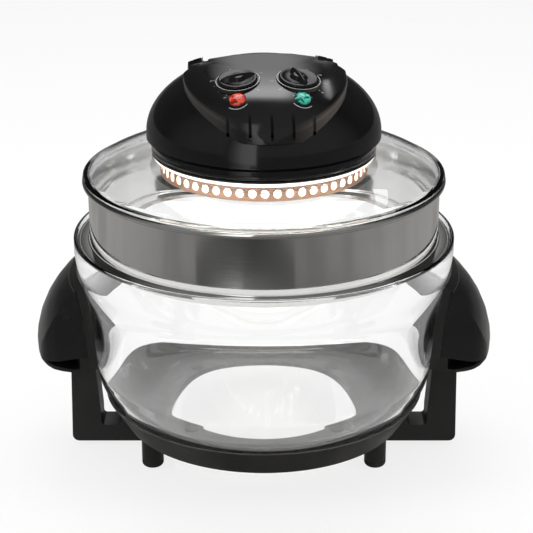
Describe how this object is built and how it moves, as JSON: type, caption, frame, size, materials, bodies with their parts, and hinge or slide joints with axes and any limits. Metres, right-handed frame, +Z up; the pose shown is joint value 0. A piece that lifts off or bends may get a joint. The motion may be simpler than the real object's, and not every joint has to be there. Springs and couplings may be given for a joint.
{
  "type": "halogen oven",
  "caption": "Countertop halogen oven: glass bowl in a black cradle with side grips, steel extender ring and a lift-off glass lid carrying the heater, fan, knobs and a fold-down handle.",
  "frame": {"origin": "on the surface the oven stands on, under the bowl's axis", "axes": "+Z up along the bowl's axis, -Y towards the user, +X to the user's right as seen from the front, through the two side grips"},
  "size_m": [0.4072, 0.336, 0.3665],
  "materials": {
    "cradle_plastic": "satin moulded black plastic with a fine grain",
    "grip_plastic": "semi-gloss moulded black plastic",
    "soft_rubber": "matt black rubber",
    "bowl_glass": "clear tempered glass",
    "lid_clear_glass": "clear tempered glass",
    "polished_steel": "polished stainless steel",
    "head_plastic": "high-gloss black plastic",
    "panel_plastic": "high-gloss black plastic with pale printed dials",
    "knob_plastic": "gloss black plastic",
    "red_plastic": "translucent red",
    "green_plastic": "translucent green",
    "guard_steel": "perforated steel, tinted by heat",
    "bright_steel": "bright sheet steel and drawn rod",
    "zinc_steel": "zinc-plated steel",
    "quartz": "clear quartz tube, lit",
    "tungsten": "glowing coiled wire",
    "white_ceramic": "unglazed white ceramic",
    "fibre_board": "pressed mineral fibre",
    "motor_iron": "laminated steel",
    "copper_wire": "enamelled copper",
    "turned_brass": "turned brass",
    "fan_plastic": "dark grey moulded plastic",
    "control_metal": "passivated steel case",
    "lamp_glow": "small neon lamps in clear sleeves",
    "fuse_metal": "drawn aluminium case",
    "wire_sleeve": "red silicone sleeve",
    "inlet_plastic": "black moulded plastic",
    "plunger_plastic": "red moulded plastic"
  },
  "bodies": {
    "base": {"base_ring": "cradle_plastic", "left_arm": "cradle_plastic", "right_arm": "cradle_plastic", "left_grip": "grip_plastic", "right_grip": "grip_plastic", "rubber_feet": "soft_rubber", "bowl_pads": "soft_rubber", "arm_screws": "zinc_steel", "grip_screws": "zinc_steel"},
    "bowl": {"glass_bowl": "bowl_glass"},
    "extender": {"extender_ring": "polished_steel"},
    "lid": {"lid_glass": "lid_clear_glass", "lid_gasket": "soft_rubber", "glass_clamp": "zinc_steel", "lower_housing": "head_plastic", "head_cover": "head_plastic", "control_panel": "panel_plastic", "red_lens": "red_plastic", "green_lens": "green_plastic", "indicator_lamps": "lamp_glow", "heat_reflector": "bright_steel", "insulation_disc": "fibre_board", "heater_guard": "guard_steel", "guard_plate": "guard_steel", "guard_screws": "zinc_steel", "halogen_lamp": "quartz", "lamp_filament": "tungsten", "lamp_end_caps": "white_ceramic", "lamp_brackets": "zinc_steel", "motor_stator": "motor_iron", "motor_coil": "copper_wire", "motor_brackets": "zinc_steel", "motor_bearings": "turned_brass", "motor_posts": "turned_brass", "timer_body": "control_metal", "timer_bell": "bright_steel", "thermostat_body": "control_metal", "thermostat_probe": "copper_wire", "terminal_block": "white_ceramic", "thermal_fuse": "fuse_metal", "wires": "wire_sleeve", "power_inlet": "inlet_plastic", "inlet_pins": "turned_brass", "microswitch": "inlet_plastic", "handle_pins": "bright_steel", "cover_screws": "zinc_steel"},
    "handle": {"carry_handle": "head_plastic"},
    "plunger": {"switch_plunger": "plunger_plastic"},
    "timer": {"timer_knob": "knob_plastic", "timer_shaft": "bright_steel"},
    "thermostat": {"thermostat_knob": "knob_plastic", "thermostat_shaft": "bright_steel"},
    "rotor": {"motor_shaft": "bright_steel", "motor_rotor": "motor_iron", "cooling_fan": "fan_plastic", "hot_air_fan": "bright_steel", "fan_nut": "turned_brass"}
  },
  "joints": [
    {"name": "bowl_lift", "type": "slide", "parent": "base", "child": "bowl", "axis": [0, 0, 1], "range_m": [0, 0.2]},
    {"name": "extender_lift", "type": "slide", "parent": "bowl", "child": "extender", "axis": [0, 0, 1], "range_m": [0, 0.1]},
    {"name": "lid_lift", "type": "slide", "parent": "extender", "child": "lid", "axis": [0, 0, 1], "range_m": [0, 0.15]},
    {"name": "handle_fold", "type": "hinge", "parent": "lid", "child": "handle", "pos_m": [-0.00049, 0.00698, 0.3505], "axis": [0.9976, 0.0698, 0], "range_deg": [0, 90]},
    {"name": "plunger_travel", "type": "slide", "parent": "lid", "child": "plunger", "axis": [0, 0, 1], "range_m": [0, 0.002]},
    {"name": "timer_turn", "type": "hinge", "parent": "lid", "child": "timer", "pos_m": [-0.02151, -0.05359, 0.3566], "axis": [-0.0775, -0.23, 0.9701], "range_deg": [-210, 90]},
    {"name": "thermostat_turn", "type": "hinge", "parent": "lid", "child": "thermostat", "pos_m": [0.02876, -0.05008, 0.3566], "axis": [0.1087, -0.217, 0.9701], "range_deg": [-98, 172]},
    {"name": "fan_spin", "type": "hinge", "parent": "lid", "child": "rotor", "pos_m": [0, 0, 0.3123], "axis": [0, 0, 1], "continuous": true}
  ],
  "couplings": [
    {"joint": "plunger_travel", "follows": "handle_fold", "m_per_rad": 0.00127}
  ]
}
